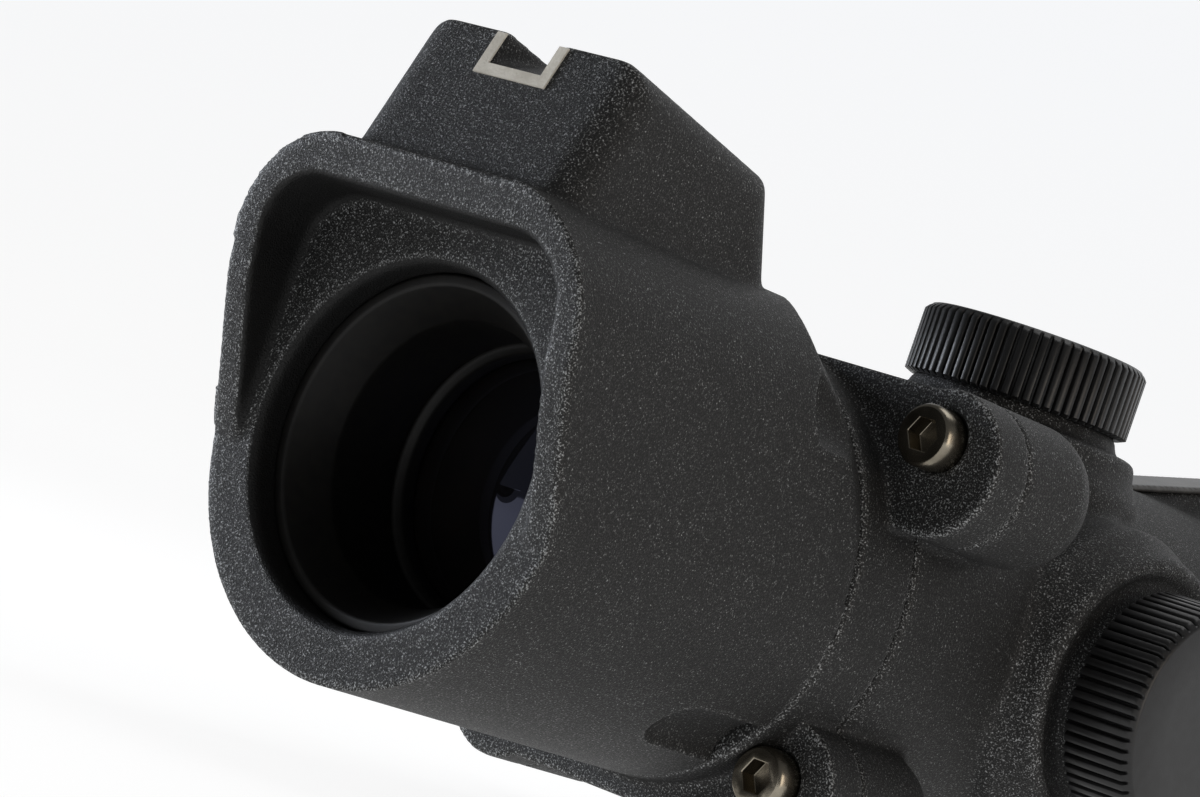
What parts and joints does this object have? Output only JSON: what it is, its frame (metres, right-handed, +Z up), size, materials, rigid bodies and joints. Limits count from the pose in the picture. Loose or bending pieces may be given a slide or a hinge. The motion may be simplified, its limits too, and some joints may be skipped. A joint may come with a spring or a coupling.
{
  "type": "optical dot sight",
  "caption": "Tube dot sight with hooded eyepiece, rear notch and front post, screwed flange, capped knurled adjusters, brightness knob and a flat threaded foot.",
  "frame": {"origin": "centre of the foot's flat underside, midway between its two threaded holes", "axes": "+Y forward along the optical axis, towards the target; +Z up from the foot; +X to the right"},
  "size_m": [0.0566, 0.1472, 0.0536],
  "materials": {
    "cast_black": "rough black coating on forged aluminium",
    "anodised_black": "satin black anodised",
    "lens_ring_black": "matt black anodised",
    "plain_aluminium": "turned",
    "coated_glass": "coated optical glass",
    "dark_steel": "polished dark steel",
    "rubber_seal": "matt",
    "brass": "turned",
    "white_paint": "off-white enamel",
    "circuit_board": "solder mask",
    "cell_steel": "nickel plated",
    "emitter_red": "clear red",
    "light_pipe_red": "fluorescent acrylic",
    "satin_grey": "satin grey anodised"
  },
  "bodies": {
    "housing": {"main_body": "cast_black", "rear_hood": "cast_black", "clamp_flange": "cast_black", "flange_seal": "rubber_seal", "flange_screws": "dark_steel", "notch_outline": "white_paint", "thread_inserts": "dark_steel", "eyepiece_bezel": "lens_ring_black", "eye_lens_retainer": "lens_ring_black", "eye_lens": "coated_glass", "eye_lens_seal": "rubber_seal", "eyepiece_spacer": "lens_ring_black", "front_lens": "coated_glass", "front_lens_seal": "rubber_seal", "front_lens_retainer": "lens_ring_black", "gimbal_yaw_pins": "dark_steel", "return_spring": "dark_steel", "elevation_retainer": "plain_aluminium", "windage_retainer": "plain_aluminium", "elevation_cap_seal": "rubber_seal", "windage_cap_seal": "rubber_seal", "switch_board": "circuit_board", "switch_plate": "anodised_black", "switch_plate_screws": "dark_steel", "detent_spring": "dark_steel", "detent_ball": "dark_steel", "front_sight_blade": "anodised_black", "front_sight_pin": "dark_steel", "light_pipe_cover": "satin_grey", "light_pipe": "light_pipe_red"},
    "gimbal": {"gimbal_ring": "plain_aluminium", "gimbal_pitch_pins": "dark_steel"},
    "tube": {"inner_tube": "lens_ring_black", "collimator_front": "coated_glass", "collimator_rear": "coated_glass", "collimator_retainer": "lens_ring_black", "emitter_bracket": "lens_ring_black", "emitter_diode": "emitter_red"},
    "elevation_adjuster": {"elevation_dial": "plain_aluminium", "elevation_click_spring": "dark_steel", "elevation_click_ball": "dark_steel"},
    "elevation_screw": {"elevation_plunger": "brass"},
    "windage_adjuster": {"windage_dial": "plain_aluminium", "windage_click_spring": "dark_steel", "windage_click_ball": "dark_steel"},
    "windage_screw": {"windage_plunger": "brass"},
    "elevation_cover": {"elevation_cap": "anodised_black"},
    "windage_cover": {"windage_cap": "anodised_black"},
    "knob": {"brightness_knob": "anodised_black", "knob_snap_ring": "dark_steel", "battery_contact": "brass"},
    "cell": {"battery": "cell_steel"},
    "cell_cover": {"battery_cap": "anodised_black", "battery_cap_seal": "rubber_seal"}
  },
  "joints": [
    {"name": "elevation_turn", "type": "hinge", "parent": "housing", "child": "elevation_adjuster", "pos_m": [0, -0.0056, 0.0235], "axis": [0, 0, 1], "range_deg": [-270, 270]},
    {"name": "elevation_travel", "type": "slide", "parent": "housing", "child": "elevation_screw", "axis": [0, 0, 1], "range_m": [-0.000376, 0.000376]},
    {"name": "windage_turn", "type": "hinge", "parent": "housing", "child": "windage_adjuster", "pos_m": [0, -0.0056, 0.0235], "axis": [1, 0, 0], "range_deg": [-270, 270]},
    {"name": "windage_travel", "type": "slide", "parent": "housing", "child": "windage_screw", "axis": [1, 0, 0], "range_m": [-0.000376, 0.000376]},
    {"name": "tube_yaw", "type": "hinge", "parent": "housing", "child": "gimbal", "pos_m": [0, -0.026, 0.0235], "axis": [0, 0, 1], "range_deg": [-1.06, 1.06]},
    {"name": "tube_pitch", "type": "hinge", "parent": "gimbal", "child": "tube", "pos_m": [0, -0.026, 0.0235], "axis": [1, 0, 0], "range_deg": [-1.06, 1.06], "deforming": ["return_spring"]},
    {"name": "elevation_cap_lift", "type": "slide", "parent": "housing", "child": "elevation_cover", "axis": [0, 0, 1], "range_m": [0, 0.02]},
    {"name": "windage_cap_lift", "type": "slide", "parent": "housing", "child": "windage_cover", "axis": [1, 0, 0], "range_m": [0, 0.02]},
    {"name": "brightness_turn", "type": "hinge", "parent": "housing", "child": "knob", "pos_m": [0, -0.0056, 0.0235], "axis": [-1, 0, 0], "range_deg": [0, 330]},
    {"name": "battery_cap_lift", "type": "slide", "parent": "knob", "child": "cell_cover", "axis": [-1, 0, 0], "range_m": [0, 0.024]},
    {"name": "battery_slide", "type": "slide", "parent": "knob", "child": "cell", "axis": [-1, 0, 0], "range_m": [0, 0.0145]}
  ],
  "couplings": [
    {"joint": "elevation_travel", "follows": "elevation_turn", "m_per_rad": 0.000079577},
    {"joint": "tube_pitch", "follows": "elevation_turn", "ratio": 0.0039009},
    {"joint": "windage_travel", "follows": "windage_turn", "m_per_rad": 0.000079577},
    {"joint": "tube_yaw", "follows": "windage_turn", "ratio": -0.0039009},
    {"joint": "battery_slide", "follows": "battery_cap_lift", "ratio": 0.6}
  ]
}
